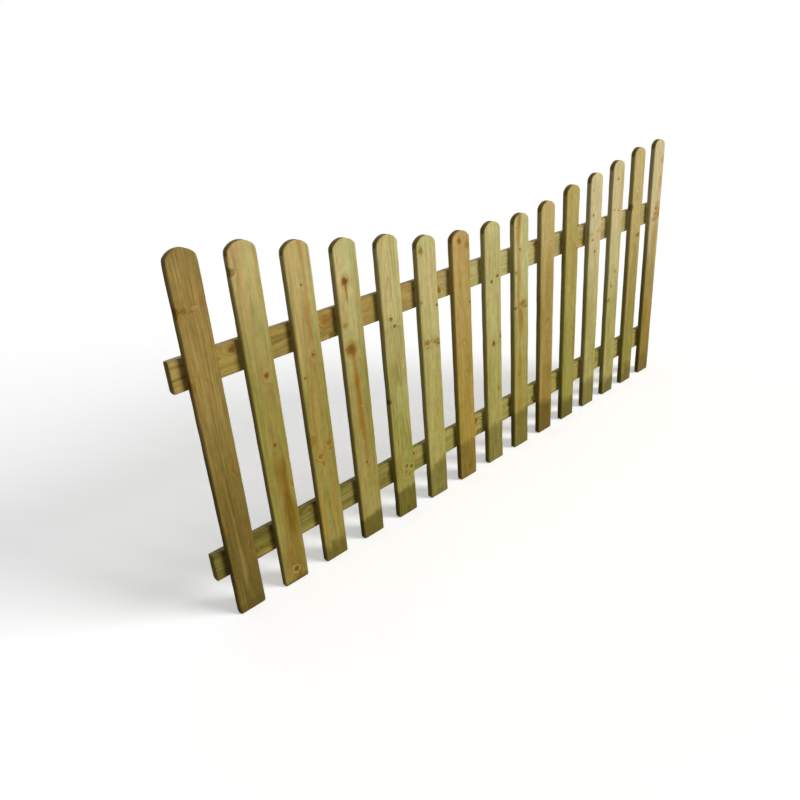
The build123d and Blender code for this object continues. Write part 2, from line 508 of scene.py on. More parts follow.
class Wiring:
    """Adds nodes to one node tree and joins them."""

    def __init__(self, tree):
        self.tree = tree

    def fill(self, node, inputs):
        """Gives a node's sockets their values, or joins them to the sockets of other nodes."""
        for name, value in dict(inputs).items():
            if isinstance(value, bpy.types.NodeSocket):
                self.tree.links.new(value, node.inputs[name])
            else:
                node.inputs[name].default_value = value

    def node(self, kind, inputs=(), **settings):
        """A new node. inputs gives its sockets by name or number."""
        node = self.tree.nodes.new(kind)
        for name, value in settings.items():
            setattr(node, name, value)
        self.fill(node, inputs)
        return node

    def group(self, tree, **inputs):
        """The outputs of a node group placed in this tree. Its sockets' names have spaces for underscores."""
        named = {name.replace("_", " "): value for name, value in inputs.items()}
        return self.node("ShaderNodeGroup", named, node_tree=tree).outputs

    def stored(self, name, output="Fac"):
        """What the mesh stores under a name."""
        return self.node("ShaderNodeAttribute", attribute_name=name).outputs[output]

    def parts(self, vector):
        """The three numbers of a vector."""
        return self.node("ShaderNodeSeparateXYZ", {0: vector}).outputs

    def math(self, operation, *values, clamp=False):
        """The result of one sum."""
        inputs = dict(enumerate(values))
        return self.node("ShaderNodeMath", inputs, operation=operation, use_clamp=clamp).outputs[0]

    def times(self, first, second, clamp=False):
        """Two values multiplied."""
        return self.math("MULTIPLY", first, second, clamp=clamp)

    def times_plus(self, first, second, third, clamp=False):
        """Two values multiplied, with a third one added."""
        return self.math("MULTIPLY_ADD", first, second, third, clamp=clamp)

    def centred(self, noise, middle=0.5):
        """Noise that lies round 0."""
        return self.math("SUBTRACT", noise, middle)

    def above(self, value):
        """A value where it is above 0, and 0 elsewhere."""
        return self.math("MAXIMUM", value, 0.0)

    def below(self, value):
        """A value where it is below 0, and 0 elsewhere."""
        return self.math("MINIMUM", value, 0.0)

    def scaled(self, vector, across, depth, along):
        """A vector scaled by its own factor in each direction."""
        inputs = {0: vector, 1: (across, depth, along)}
        return self.node("ShaderNodeVectorMath", inputs, operation="MULTIPLY").outputs[0]

    def noise(self, vector, scale, detail=2.0, roughness=0.5):
        """Smooth noise from 0 to 1."""
        inputs = {"Vector": vector, "Scale": scale, "Detail": detail, "Roughness": roughness}
        return self.node("ShaderNodeTexNoise", inputs).outputs["Fac"]

    def long_noise(self, place, squeeze, scale, detail=2.0, roughness=0.5):
        """Noise drawn out along the grain, because the place counts only this much in that direction."""
        return self.noise(self.scaled(place, 1.0, 1.0, squeeze), scale, detail, roughness)

    def line_noise(self, value, scale, detail):
        """Smooth noise from 0 to 1 that changes with one value."""
        inputs = {"W": value, "Scale": scale, "Detail": detail}
        return self.node("ShaderNodeTexNoise", inputs, noise_dimensions="1D").outputs["Fac"]

    def fade(self, value, low, high, start=0.0, end=1.0):
        """A value that eases from start to end while the input goes from low to high."""
        inputs = {"Value": value, "From Min": low, "From Max": high, "To Min": start, "To Max": end}
        return self.node("ShaderNodeMapRange", inputs, interpolation_type="SMOOTHSTEP").outputs["Result"]

    def hump(self, value, low, high, after, end):
        """1 while the input lies between high and after, easing to 0 outside low and end."""
        return self.times(self.fade(value, low, high), self.fade(value, after, end, 1.0, 0.0))

    def mix(self, factor, first, second, blend="MIX"):
        """Two colours mixed."""
        inputs = {0: factor, 6: first, 7: second}
        return self.node("ShaderNodeMix", inputs, data_type="RGBA", blend_type=blend).outputs[2]

    def tinted(self, color, tint):
        """A colour with a tint laid over it."""
        return self.mix(1.0, color, tint, "MULTIPLY")

    def grey(self, value):
        """A grey of this brightness."""
        return self.node("ShaderNodeCombineColor", {0: value, 1: value, 2: value}).outputs[0]


def new_group(name, inputs, outputs):
    """An empty node group: its wiring, its input sockets, and a function that joins its outputs."""
    tree = bpy.data.node_groups.new(name, "ShaderNodeTree")
    for label, value in inputs.items():
        kind = "NodeSocketFloat"
        if not isinstance(value, float):
            kind = "NodeSocketColor" if len(value) == 4 else "NodeSocketVector"
        tree.interface.new_socket(label, in_out="INPUT", socket_type=kind).default_value = value
    for label in outputs:
        kind = "NodeSocketColor" if label == "Color" else "NodeSocketFloat"
        tree.interface.new_socket(label, in_out="OUTPUT", socket_type=kind)
    wiring = Wiring(tree)
    taken = wiring.node("NodeGroupInput").outputs
    given = wiring.node("NodeGroupOutput")

    def give(**sockets):
        wiring.fill(given, sockets)
        return tree

    return wiring, taken, give


def new_material(name):
    """An empty material, its wiring and its shader."""
    material = bpy.data.materials.new(name)
    material.use_nodes = True
    return material, Wiring(material.node_tree), material.node_tree.nodes["Principled BSDF"]


def linear(shown):
    """A colour from a picker as the shader's sockets take it."""
    values = [c / 12.92 if c <= 0.04045 else ((c + 0.055) / 1.055) ** 2.4 for c in shown]
    return (*values, 1.0)


# Node groups that the timber materials share

# What the groups' vectors and colours are until something is joined to them
PLACE = (0.0, 0.0, 0.0)
WHITE = (1.0, 1.0, 1.0, 1.0)

# Tints of pink wood, cool pale wood, painted knot highlight, late wood and painted edge shade
WARM_TINT = (1.09, 0.95, 1.01, 1.0)
COOL_TINT = (0.93, 1.06, 1.10, 1.0)
KNOT_SHEEN_TINT = (1.28, 1.25, 1.30, 1.0)
LATE_TINT = (0.48, 0.41, 0.22, 1.0)
EDGE_SHADE_TINT = (0.42, 0.40, 0.30, 1.0)

# Square of the distance from a knot, in its own radii, at which its reach is cut off
KNOT_LIMIT = 16.0


def grain_group():
    """Growth rings and fibres: dark late wood, a fine streaky tone, and the height of the raised grain."""
    w, taken, give = new_group("Grain", {"Place": PLACE, "Growth": 0.0}, ("Late", "Band", "Fibre", "Height"))
    place = taken["Place"]
    rings = w.times_plus(w.long_noise(place, 0.12, 70.0), 0.7, taken["Growth"])
    late = w.hump(w.math("FRACT", rings), 0.35, 0.86, 0.90, 1.0)
    year = w.line_noise(rings, 0.83, 0.0)
    late = w.times(late, w.fade(year, 0.3, 0.7, 0.15, 1.0))
    band = w.line_noise(rings, 0.21, 1.0)
    fine = w.long_noise(place, 0.035, 1100.0, 3.0, 0.6)
    broad = w.long_noise(place, 0.035, 260.0)
    fibre = w.times_plus(w.centred(broad), 1.1, w.times(fine, 0.6))
    height = w.times_plus(late, 0.55, w.times(fine, 0.5))
    return give(Late=late, Band=band, Fibre=fibre, Height=height)


def knot_group():
    """A knot: its dark eye and rim, the stained wood round it, and a painted highlight beside it where the
    grain turns.
    """
    masks = ("Eye", "Pith", "Rim", "Stain", "Pale", "Ring", "Bark", "Around", "Lines")
    w, taken, give = new_group("Knot", {"Place": PLACE, "Reach": KNOT_LIMIT}, masks)
    place = taken["Place"]
    ragged = w.long_noise(place, 0.6, 170.0, 3.0, 0.6)
    reach = w.times_plus(w.centred(ragged), 1.1, w.math("SQRT", w.above(taken["Reach"])))
    eye = w.fade(reach, 0.7, 1.05, 1.0, 0.0)
    pith = w.fade(reach, 0.1, 0.7, 1.0, 0.0)
    side = w.long_noise(place, 0.8, 110.0, 1.0)
    rim = w.times(w.hump(reach, 0.75, 0.95, 1.0, 1.3), w.fade(side, 0.42, 0.56, 1.0, 0.3))
    wisps = w.long_noise(place, 0.35, 300.0, 2.0, 0.6)
    stain = w.times(w.fade(reach, 0.8, 2.5, 1.0, 0.0), w.fade(wisps, 0.35, 0.62, 0.3, 1.0))
    # Pale is a painted highlight: light crescents beside the knot, where the turning grain catches the light
    pale = w.times(w.hump(reach, 0.9, 1.4, 1.3, 2.8), w.fade(side, 0.38, 0.66))
    ring = w.hump(reach, 1.0, 1.15, 1.3, 1.5)
    bark = w.hump(reach, 1.35, 1.5, 1.55, 1.9)
    around = w.fade(reach, 1.3, 3.8, 1.0, 0.0)
    wave = w.math("SINE", w.times(reach, 17.0))
    lines = w.times(w.times_plus(wave, 0.5, 0.5), eye)
    return give(
        Eye=eye, Pith=pith, Rim=rim, Stain=stain, Pale=pale, Ring=ring, Bark=bark, Around=around, Lines=lines
    )


def treatment_group():
    """How the green treatment lies: blotches along the grain, and the foot that stood in it."""
    masks = ("Blotch", "Mottle", "Tinge", "Soaked", "Line")
    w, taken, give = new_group("Treatment", {"Place": PLACE, "Above Tide": 100.0}, masks)
    place = taken["Place"]
    blotch = w.long_noise(place, 0.22, 26.0, 3.0, 0.55)
    mottle = w.long_noise(place, 0.5, 90.0, 3.0, 0.6)
    tinge = w.long_noise(place, 0.09, 60.0)
    wet_edge = w.long_noise(place, 0.5, 60.0)
    above = w.times_plus(w.centred(wet_edge), 16.0, taken["Above Tide"])
    soaked = w.fade(above, -7.0, 6.0, 1.0, 0.0)
    line = w.hump(above, -6.0, -1.0, 0.0, 4.0)
    return give(Blotch=blotch, Mottle=mottle, Tinge=tinge, Soaked=soaked, Line=line)


def sawn_group():
    """A cross-cut end: rough fibres and the saw's faint lines."""
    w, taken, give = new_group("Sawn End", {"Place": PLACE}, ("Tone", "Height"))
    rough = w.noise(taken["Place"], 900.0, 3.0, 0.65)
    lines = w.noise(w.scaled(taken["Place"], 0.25, 1.0, 1.0), 420.0, 1.0)
    return give(Tone=w.times_plus(lines, 0.5, w.times(rough, 0.5)), Height=rough)


def timber_group(grain, knot, treatment, sawn):
    """The whole finish of one treated board, from its grain to its sawn ends."""
    inputs = {
        "Place": PLACE, "Growth": 0.0, "Streak": 0.0, "Blush": 0.0, "Above Tide": 100.0,
        "Knot Reach": KNOT_LIMIT, "Knot Red": 0.5, "Knot Dark": 0.5, "Knot Ringed": 0.0,
        "Sawn": 0.0, "Edge": 0.0, "Rise": 0.5, "Ring Shade": 0.5, "Soak": 1.0,
        "Upper": WHITE, "Lower": WHITE, "Core": WHITE, "Sap": WHITE, "Red": WHITE, "Eye": WHITE,
        "Green Eye": WHITE, "Pale": WHITE, "Soaked": WHITE, "End": WHITE,
    }
    w, taken, give = new_group("Treated Timber", inputs, ("Color", "Roughness", "Height"))
    place = taken["Place"]
    grains = w.group(grain, Place=place, Growth=taken["Growth"])
    knots = w.group(knot, Place=place, Reach=taken["Knot Reach"])
    stain = w.group(treatment, Place=place, Above_Tide=taken["Above Tide"])
    ends = w.group(sawn, Place=place)

    # Sapwood paler towards the head, partly its tone and partly painted sheen, with heartwood and green bands
    blotch = w.centred(stain["Blotch"])
    flow = w.centred(grains["Band"])
    rise = w.times_plus(flow, 1.1, w.times_plus(blotch, 0.6, taken["Rise"]), clamp=True)
    color = w.mix(rise, taken["Lower"], taken["Upper"])
    band = w.times_plus(w.centred(grains["Fibre"], 0.3), 0.45, taken["Streak"])
    band = w.times_plus(flow, -0.6, w.times_plus(blotch, 0.5, band))
    color = w.mix(w.times(w.above(band), 0.9, clamp=True), color, taken["Core"])
    color = w.mix(w.times(w.below(band), -0.8, clamp=True), color, taken["Sap"])
    blush = w.times_plus(w.centred(stain["Tinge"]), 0.9, taken["Blush"])
    warm = w.tinted(color, WARM_TINT)
    cool = w.tinted(color, COOL_TINT)
    color = w.mix(w.times(w.above(blush), 0.7, clamp=True), color, warm)
    color = w.mix(w.times(w.below(blush), -0.7, clamp=True), color, cool)

    # Rings, fibres and mottles
    ring_shade = w.times(grains["Late"], w.times_plus(knots["Around"], 0.5, taken["Ring Shade"]))
    color = w.mix(w.times(ring_shade, 0.6, clamp=True), color, w.tinted(color, LATE_TINT))
    light = w.fade(grains["Fibre"], 0.0, 0.6, 0.86, 1.12)
    light = w.times(light, w.fade(stain["Mottle"], 0.25, 0.75, 0.90, 1.08))
    color = w.tinted(color, w.grey(light))

    # Knots: a stained patch, a dark eye with its rim, and a painted highlight beside it
    dark = taken["Knot Dark"]
    red = taken["Knot Red"]
    ringed = w.times(taken["Knot Ringed"], 0.6)
    # Painted highlight: the crescents beside a knot are lightened
    color = w.mix(w.times(knots["Pale"], 0.6), color, w.tinted(color, KNOT_SHEEN_TINT))
    color = w.mix(w.times(knots["Stain"], w.times(red, 0.85)), color, taken["Red"])
    # A knot that is neither red nor dark gets a painted highlight over its eye
    eye_highlight = w.times_plus(dark, -1.5, w.times_plus(red, -1.2, 0.6), clamp=True)
    color = w.mix(w.times(knots["Eye"], eye_highlight), color, taken["Pale"])
    eye_tone = w.mix(red, taken["Green Eye"], taken["Eye"])
    body_tone = w.mix(w.times_plus(knots["Pith"], 0.4, w.times(dark, 0.6)), taken["Red"], eye_tone)
    filled = w.times_plus(red, 0.2, w.times(dark, 1.1))
    filled = w.times_plus(knots["Lines"], -0.3, filled, clamp=True)
    color = w.mix(w.times(w.times(filled, 0.96), knots["Eye"]), color, body_tone)
    color = w.mix(w.times(knots["Rim"], w.times_plus(dark, 0.7, 0.1)), color, eye_tone)
    color = w.mix(w.times(knots["Ring"], ringed), color, taken["Pale"])
    color = w.mix(w.times(knots["Bark"], ringed), color, taken["Red"])

    # The foot that stood in the treatment, darkest along its upper edge
    soaked = w.tinted(color, taken["Soaked"])
    color = w.mix(w.times(stain["Soaked"], taken["Soak"]), color, soaked)
    color = w.mix(w.times(stain["Line"], w.times(taken["Soak"], 0.2)), color, soaked)

    # Painted shade darkens the long edges and the rims of the sawn ends, mottled
    edge_shade = w.times(w.fade(stain["Mottle"], 0.3, 0.7, 0.5, 1.0), 0.45)
    color = w.mix(w.times(taken["Edge"], edge_shade), color, w.tinted(color, EDGE_SHADE_TINT))

    # The sawn ends
    end_tone = w.tinted(taken["End"], w.grey(w.fade(ends["Tone"], 0.25, 0.75, 0.7, 1.3)))
    end_tone = w.mix(w.times(grains["Late"], 0.5), end_tone, taken["Eye"])
    color = w.mix(taken["Sawn"], color, end_tone)

    rough = w.fade(grains["Fibre"], 0.0, 0.6, 0.56, 0.68)
    rough = w.math("MAXIMUM", rough, w.times(taken["Sawn"], 0.82))
    height = w.times_plus(knots["Eye"], -0.6, grains["Height"])
    height = w.times_plus(knots["Rim"], -0.4, height)
    height = w.times_plus(w.times(ends["Height"], 2.0), taken["Sawn"], height)
    return give(Color=color, Roughness=rough, Height=height)


def timber_tree():
    """The node group of the treated timber, built once."""
    made = bpy.data.node_groups.get("Treated Timber")
    return made or timber_group(grain_group(), knot_group(), treatment_group(), sawn_group())


def timber_material(name, board, tones):
    """The material of one board, which reads what its mesh stores."""
    material, w, shader = new_material(name)
    wood = w.parts(w.stored("wood", "Vector"))
    knot = w.parts(w.stored("knot", "Vector"))
    shown = {label: linear(getattr(tones, label)) for label in tones.__annotations__}
    finish = w.group(
        timber_tree(),
        Place=w.stored("place", "Vector"), Growth=wood[0], Streak=wood[1], Above_Tide=wood[2],
        Blush=w.stored("blush"), Knot_Reach=knot[0], Knot_Red=knot[1], Knot_Dark=knot[2],
        Knot_Ringed=w.stored("ringed"), Sawn=w.stored("sawn"), Edge=w.stored("edge"),
        Rise=w.fade(w.stored("along"), *board.fade), Ring_Shade=board.ring_shade, Soak=board.soak,
        Upper=shown[board.upper], Lower=shown[board.lower], Core=shown[board.core], Sap=shown["moss"],
        Red=shown["rust"], Eye=shown["eye"], Green_Eye=shown["moss_eye"], Pale=shown["wheat"],
        Soaked=shown["soaked"], End=shown["sawn"],
    )
    bump = w.node("ShaderNodeBump", {"Strength": 0.5, "Distance": 0.35 * MM, "Height": finish["Height"]})
    w.fill(shader, {
        "Base Color": finish["Color"], "Roughness": finish["Roughness"], "Normal": bump.outputs["Normal"],
        "Specular IOR Level": 0.15,
    })
    return material


# The bloom on the nails' steel, as the shader takes it
STEEL_BLOOM = (0.16, 0.15, 0.13, 1.0)


def steel_material(tones):
    """Dull galvanised steel with a mottled bloom."""
    material, w, shader = new_material("nail_steel")
    spangle = w.noise(w.node("ShaderNodeTexCoord").outputs["Object"], 1400.0)
    w.fill(shader, {
        "Base Color": w.mix(w.fade(spangle, 0.35, 0.65), linear(tones.steel), STEEL_BLOOM),
        "Roughness": w.fade(spangle, 0.3, 0.7, 0.4, 0.65),
        "Metallic": 1.0,
    })
    return material


# Making a board's mesh

# Seeds of the first pale and of the first rail. The boards after them count on from there.
PALE_SEED = 11
RAIL_SEED = 41

# How far one step of a seed moves a board through the timber's noise, in metres
SEED_STEP = np.array([0.37, 0.53, 0.71])

# Mesh cells round an arris and through a board's thickness
ARRIS_CELLS = 4
SIDE_CELLS = 4

# Half the width of a drying crack, and the least distance from its middle to the face's other columns
CHECK_HALF_WIDTH = 0.9
CHECK_MARGIN = 1.2

# Rows that follow the rubbed edge of a sawn end, as shares of its radius
EASE_ROWS = np.array([0.12, 0.45, 1.0])

# How far the mesh is finer beside a knot, in its own radii, and beside a nail
KNOT_REACH = 2.2
NAIL_REACH = 6.0

# Radius of the dish round a nail's head, and how far a knot's branch rises for its depth
DISH_RADIUS = 4.2
BRANCH_LEAN = 0.12


def ripple(places, lengths, seed):
    """Smooth noise from about -1 to 1. lengths are its sizes across, through and along the board."""
    draw = np.random.default_rng(seed)
    scaled = places / np.asarray(lengths, float)
    total = np.zeros(len(places))
    waves = 9
    for _ in range(waves):
        direction = draw.normal(size=3)
        direction /= np.linalg.norm(direction)
        stretch = draw.uniform(0.5, 1.5)
        total += np.sin(2 * math.pi * stretch * (scaled @ direction) + draw.uniform(0, 2 * math.pi))
    return total / math.sqrt(waves)


class BoardForm(NamedTuple):
    """A board's size and edges, in millimetres."""

    width: float
    thickness: float
    length: float
    front_arris: float
    back_arris: float
    head_rise: float = 0.0
    shoulder: float = 0.0
    foot_corner: float = 0.0


def section_edge(form, radius, shares, back):
    """Across, depth and outward direction of each lattice column on the front or on the back of a section."""
    half = form.width / 2
    turn = np.linspace(0, math.pi / 2, ARRIS_CELLS + 1)
    corner = radius * (1 - np.cos(turn)) - half
    sunk = radius * (1 - np.sin(turn))
    across = np.concatenate([corner, (2 * shares - 1) * (half - radius), -corner[::-1]])
    inset = np.concatenate([sunk, np.zeros(len(shares)), sunk[::-1]])
    out_across = np.concatenate([-np.cos(turn), np.zeros(len(shares)), np.cos(turn[::-1])])
    out_depth = np.concatenate([-np.sin(turn), -np.ones(len(shares)), -np.sin(turn[::-1])])
    if back:
        return across, form.thickness - inset, out_across, -out_depth
    return across, inset, out_across, out_depth


def column_shares(form, board, sizes):
    """Shares of the flat face's width at which the lattice has its columns, three to a drying crack."""
    flats = round((form.width - 2 * form.front_arris) * MM / sizes.cell_across)
    shares = np.linspace(0, 1, flats + 1)[1:-1]
    for check in board.checks:
        wanted = check.across + np.array([-CHECK_HALF_WIDTH, 0, CHECK_HALF_WIDTH])
        wanted = (wanted / (form.width / 2 - form.front_arris) + 1) / 2
        shares = shares[np.abs(shares - wanted[1]) > CHECK_MARGIN / form.width]
        shares = np.sort(np.concatenate([shares, wanted]))
    return shares


def row_shares(form, board, sizes, dishes):
    """Shares of the length at which the lattice has its rows, closer beside knots, nails and ends."""
    spots = [(knot.along, KNOT_REACH * knot.size * knot.stretch) for knot in board.knots]
    spots += [(along, NAIL_REACH) for _, along in dishes]
    fine_step = 0.5
    places = np.arange(0, form.length + fine_step, fine_step)
    near = np.zeros(len(places))
    for spot, reach in spots:
        near = np.maximum(near, np.clip(1.6 - np.abs(places - spot) / reach, 0, 1))
    step = (sizes.cell_along + (sizes.cell_fine - sizes.cell_along) * near) / MM
    count = np.concatenate([[0], np.cumsum(fine_step / step[:-1])])
    rows = int(math.ceil(count[-1]))
    shares = np.interp(np.linspace(0, count[-1], rows + 1), count, places) / places[-1]
    eased = EASE_ROWS * sizes.end_ease / MM / form.length
    return np.sort(np.concatenate([shares, eased, 1 - eased]))


def side_faces(numbers, flip):
    """The faces of one side of the lattice, from its grid of vertex numbers."""
    corners = (numbers[:-1, :-1], numbers[1:, :-1], numbers[1:, 1:], numbers[:-1, 1:])
    faces = np.stack(corners, -1).reshape(-1, 4)
    return faces[:, ::-1] if flip else faces


def lattice(columns, layers, rows):
    """Numbers the outside points of a brick of cells: each point's column, layer and row, and the faces."""
    shape = (columns, layers, rows)
    outside = np.zeros(shape, bool)
    for axis, size in enumerate(shape):
        outside[tuple([slice(None)] * axis + [[0, size - 1]])] = True
    numbers = np.full(shape, -1)
    numbers[outside] = np.arange(outside.sum())
    walls = np.concatenate([
        side_faces(numbers[:, 0, :], False), side_faces(numbers[:, -1, :], True),
        side_faces(numbers[0], True), side_faces(numbers[-1], False),
    ])
    ends = np.concatenate([side_faces(numbers[:, :, 0], True), side_faces(numbers[:, :, -1], False)])
    return np.nonzero(outside), walls, ends


def section_points(form, shares, column, layer):
    """Across, depth and outward direction of each lattice point, and whether it is on the back."""
    front = section_edge(form, form.front_arris, shares, False)
    back = section_edge(form, form.back_arris, shares, True)
    share = layer / SIDE_CELLS
    across = front[0][column] * (1 - share) + back[0][column] * share
    depth = front[1][column] * (1 - share) + back[1][column] * share
    on_front = layer == 0
    on_back = layer == SIDE_CELLS
    on_side = ((column == 0) | (column == len(front[0]) - 1)) & ~on_front & ~on_back
    out_across = np.where(on_front, front[2][column], 0) + np.where(on_back, back[2][column], 0)
    out_across += np.where(on_side, np.sign(across), 0)
    out_depth = np.where(on_front, front[3][column], 0) + np.where(on_back, back[3][column], 0)
    return across, depth, out_across, out_depth, on_back


def head_shape(across, form):
    """How far the sawn head lies below its top across a pale, and the sine of its slope there."""
    half = form.width / 2
    place = np.abs(across)

    # The arc's radius, how far out and how deep the shoulder's middle lies, and where the two curves meet
    arc = (half ** 2 + form.head_rise ** 2) / (2 * form.head_rise)
    out = half - form.shoulder
    deep = arc - math.sqrt((arc - form.shoulder) ** 2 - out ** 2)
    join = out * arc / (arc - form.shoulder)

    arc_drop = arc - np.sqrt(arc ** 2 - place ** 2)
    shoulder_drop = deep - np.sqrt(np.maximum(form.shoulder ** 2 - (place - out) ** 2, 0))
    drop = np.where(place <= join, arc_drop, shoulder_drop)
    sine = np.where(place <= join, place / arc, (place - out) / form.shoulder)
    return drop, np.sign(across) * np.minimum(sine, 1)


def knot_reach(places, knot):
    """Square of the distance to a knot's middle, in its own radii. The branch runs a little upwards."""
    across = (places[:, ACROSS] - knot.across) / knot.size
    along = (places[:, ALONG] - knot.along - BRANCH_LEAN * places[:, DEPTH]) / (knot.size * knot.stretch)
    return across ** 2 + along ** 2


def growth(places, board, seed):
    """Count of the growth rings at each place."""
    # The heart wanders along the board
    wander = 2.2 * ripple(places * (0, 0, 1), (1, 1, 420), seed)
    heart_across = board.heart[0] + 2.5 * wander
    radius = np.hypot(places[:, ACROSS] - heart_across, places[:, DEPTH] - board.heart[1])
    radius += board.taper * places[:, ALONG] + 1.1 * ripple(places, (90, 90, 260), seed + 1)

    # Some years are wide and others narrow
    rings = radius / board.ring_gap
    rings += 0.7 * np.sin(rings / 2.3) + 0.35 * np.sin(rings / 0.83 + seed)

    # The rings bend round the knots
    for knot in board.knots:
        wide = knot._replace(size=knot.size * 1.5, stretch=knot.stretch * 1.7)
        rings += 2.4 * np.exp(-knot_reach(places, wide)) * min(1.0, knot.size / 6)
    return rings


def streak_tones(places, board, seed):
    """Two tones at each place: heartwood above 0 and green sapwood below, and pink above 0 and cool below."""
    total = np.zeros(len(places))
    blush = np.zeros(len(places))
    wander = 1.6 * ripple(places * (0, 0, 1), (1, 1, 170), seed + 6)
    patches = 1 + 0.22 * ripple(places, (45, 60, 120), seed + 7)
    for streak in board.streaks:
        share = (places[:, ALONG] - streak.start) / (streak.end - streak.start)
        middle = streak.across + streak.lean * (share - 0.5) + wander
        across = np.exp(-(((places[:, ACROSS] - middle) / (streak.width * patches)) ** 2) * 1.4)
        ends = np.clip(np.minimum(share, 1 - share) * 5, 0, 1)
        band = patches * across * ends * ends * (3 - 2 * ends)
        total += streak.strength * band
        blush += streak.blush * band
    return total, blush


def face_dips(places, outward, board, sizes, seed):
    """How far each point of a board's long faces lies below the planed surface."""
    dip = sizes.waviness / MM * (0.5 + 0.5 * ripple(places, (60, 60, 240), seed + 2)).clip(0, 1)

    # The long edges are rubbed down unevenly, with small dents
    corner = np.clip(4 * np.abs(outward[:, ACROSS] * outward[:, DEPTH]), 0, 2) / 2
    wear = (0.35 + 0.65 * ripple(places, (40, 40, 70), seed + 3)).clip(0, 1.6)
    dents = (ripple(places, (30, 30, 26), seed + 4) - 1.5).clip(0, 1)
    dip += sizes.edge_wear / MM * corner * (wear + 2.0 * dents)

    # A knot has shrunk a little below the face
    for knot in board.knots:
        dip += 0.35 * np.exp(-knot_reach(places, knot) * 1.2) * (0.4 + 0.6 * knot.dark)

    # A drying crack is V-shaped and runs out at both ends
    for check in board.checks:
        share = (places[:, ALONG] - check.start) / (check.end - check.start)
        taper = np.clip(np.minimum(share, 1 - share) * 5, 0, 1)
        vee = np.clip(1 - np.abs(places[:, ACROSS] - check.across) / CHECK_HALF_WIDTH, 0, 1)
        dip += check.deep * vee * taper * (outward[:, DEPTH] < -0.9)
    return dip


def dish_dips(across, along, dishes, sizes):
    """How far the back of a rail lies below its surface round the nails' heads."""
    dip = np.zeros(len(across))
    for dish_across, dish_along in dishes:
        away = np.hypot(across - dish_across, along - dish_along)
        dip += 1.5 * sizes.nail_sink / MM * np.exp(-((away / DISH_RADIUS) ** 4))
    return dip


def set_attribute(mesh, name, values, domain="POINT"):
    """Stores a number or a vector at each point or face of a mesh."""
    kind, field = ("FLOAT_VECTOR", "vector") if values.ndim == 2 else ("FLOAT", "value")
    mesh.attributes.new(name, kind, domain).data.foreach_set(field, values.astype(np.float32).ravel())


def store_wood(mesh, places, outward, from_end, board, half_width, seed):
    """Stores what the timber material reads at each point."""
    reaches = np.stack([knot_reach(places, knot) for knot in board.knots], -1)
    nearest = reaches.argmin(-1)
    reach = np.minimum(reaches.min(-1), KNOT_LIMIT)
    red, dark, ringed = np.array([(knot.red, knot.dark, knot.ringed) for knot in board.knots])[nearest].T
    tide = board.tide + board.tide_lean * places[:, ACROSS] / half_width
    above_tide = (places[:, ALONG] - tide) / board.tide_blur
    heartwood, blush = streak_tones(places, board, seed)
    corner = np.abs(2 * outward[:, ACROSS] * outward[:, DEPTH])
    set_attribute(mesh, "place", places * MM + seed * SEED_STEP)
    set_attribute(mesh, "wood", np.stack([growth(places, board, seed), heartwood, above_tide], -1))
    set_attribute(mesh, "knot", np.stack([reach, red, dark], -1))
    set_attribute(mesh, "ringed", ringed)
    set_attribute(mesh, "along", places[:, ALONG])
    set_attribute(mesh, "blush", blush)
    # The edge mask carries the painted shade along the long edges and beside the sawn ends
    set_attribute(mesh, "edge", np.maximum(corner, np.exp(-from_end / 1.6)))


def finish_mesh(mesh, sharp_from):
    """Shades a mesh smooth, apart from edges sharper than an angle in degrees."""
    mesh.shade_smooth()
    mesh.set_sharp_from_angle(angle=math.radians(sharp_from))


def add_object(name, data):
    """A new object in the scene."""
    made = bpy.data.objects.new(name, data)
    bpy.context.collection.objects.link(made)
    return made


def make_board(node, form, board, sizes, seed, turned=False, dishes=()):
    """One board as a closed mesh, standing for its node. dishes are the nails' places on its back."""
    shares = column_shares(form, board, sizes)
    rows = row_shares(form, board, sizes, dishes)
    columns = len(shares) + 2 * (ARRIS_CELLS + 1)
    (column, layer, row), walls, ends = lattice(columns, SIDE_CELLS + 1, len(rows))
    across, depth, out_across, out_depth, on_back = section_points(form, shares, column, layer)
    level = np.zeros(len(across))

    # The foot's corners and the sawn head
    into_corner = np.maximum(np.abs(across) - form.width / 2 + form.foot_corner, 0)
    foot = form.foot_corner - np.sqrt(form.foot_corner ** 2 - into_corner ** 2)
    drop, slope = head_shape(across, form) if form.head_rise else (level, level)
    along = foot + rows[row] * (form.length - drop - foot)
    places = np.stack([across, depth, along], -1)
    outward = np.stack([out_across, out_depth, level], -1)

    # The faces, with the sawn edges rubbed round
    ease = sizes.end_ease / MM
    square = np.sqrt(1 - slope ** 2)
    from_end = np.minimum(along - foot, (form.length - drop - along) * square)
    dip = face_dips(places, outward, board, sizes, seed)
    dip += np.where(on_back, dish_dips(across, along, dishes, sizes), 0)
    dip += ease - np.sqrt(ease ** 2 - np.maximum(ease - from_end, 0) ** 2)
    moved = places - outward * dip[:, None]

    # The saw leaves the ends a little rough
    rough = (0.2 + 0.14 * ripple(places, (7, 5, 9), seed + 5)).clip(0.02, 0.6)
    rough_head = np.where(row == len(rows) - 1, rough, 0)
    moved[:, ALONG] += np.where(row == 0, rough, 0) - rough_head * square
    moved[:, ACROSS] -= rough_head * slope

    # A pale stands up, and a turned board lies along the fence
    low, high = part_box(node)
    if turned:
        points = np.stack([moved[:, ALONG], moved[:, DEPTH], -moved[:, ACROSS]], -1) * MM
        points += (low.x, low.y, (low.z + high.z) / 2)
    else:
        points = moved * MM + ((low.x + high.x) / 2, low.y, low.z)
    mesh = bpy.data.meshes.new(f"{node}_board")
    mesh.from_pydata(points.tolist(), [], np.concatenate([walls, ends]).tolist())
    store_wood(mesh, places, outward, from_end, board, form.width / 2, seed)
    set_attribute(mesh, "sawn", np.concatenate([np.zeros(len(walls)), np.ones(len(ends))]), "FACE")
    finish_mesh(mesh, 40)

    piece = add_object(f"{node}_board", mesh)
    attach(piece, "root")
    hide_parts(node)
    return piece


